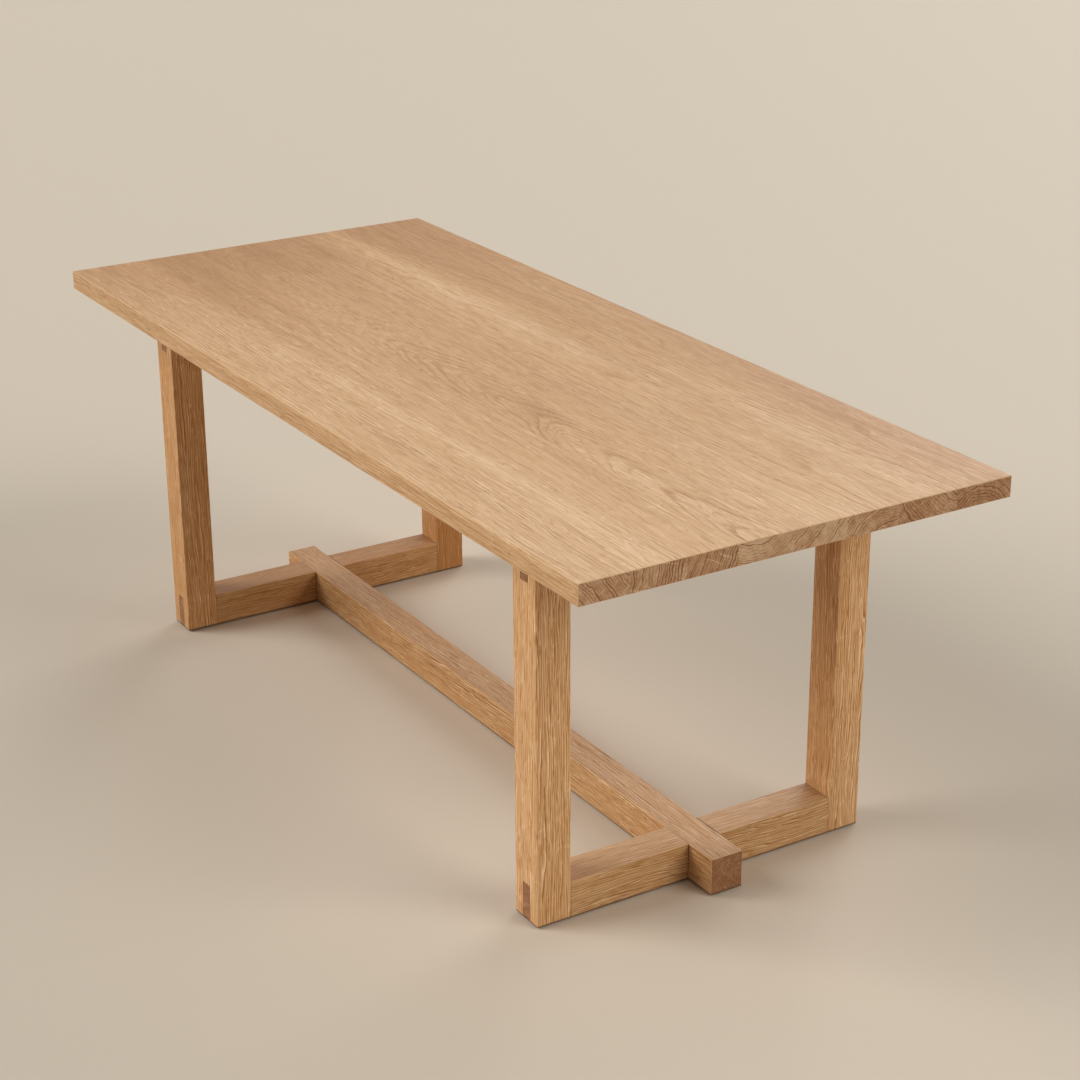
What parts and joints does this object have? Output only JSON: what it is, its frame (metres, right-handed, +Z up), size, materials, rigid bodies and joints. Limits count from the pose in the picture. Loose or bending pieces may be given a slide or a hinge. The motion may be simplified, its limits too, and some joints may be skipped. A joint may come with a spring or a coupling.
{
  "type": "trestle dining table",
  "caption": "Rectangular solid oak dining table: an edge-glued board top on open bridle-jointed trestle frames, tied near the floor by a cross-lapped stretcher.",
  "frame": {"origin": "on the floor, under the middle of the top", "axes": "+X along the length of the top, +Y across its width, +Z up"},
  "size_m": [2, 0.84, 0.74],
  "materials": {
    "oak_top": "matt oil",
    "oak_base": "matt oil",
    "felt_pad": "pressed felt",
    "black_steel": "black oxide",
    "zinc_steel": "bright zinc plate",
    "brass_insert": "turned"
  },
  "bodies": {
    "root": {"top_board_1": "oak_top", "top_board_2": "oak_top", "top_board_3": "oak_top", "top_board_4": "oak_top", "top_board_5": "oak_top", "top_board_6": "oak_top", "top_board_7": "oak_top", "top_board_8": "oak_top", "leg_left_front": "oak_base", "leg_left_back": "oak_base", "leg_right_front": "oak_base", "leg_right_back": "oak_base", "foot_rail_left": "oak_base", "top_rail_left": "oak_base", "foot_rail_right": "oak_base", "top_rail_right": "oak_base", "stretcher": "oak_base", "floor_pad_left_front": "felt_pad", "floor_pad_left_back": "felt_pad", "floor_pad_right_front": "felt_pad", "floor_pad_right_back": "felt_pad", "top_bolts": "black_steel", "top_bolt_washers": "zinc_steel", "top_inserts": "brass_insert", "stretcher_bolts": "black_steel", "stretcher_bolt_washers": "zinc_steel", "stretcher_inserts": "brass_insert"}
  },
  "joints": []
}
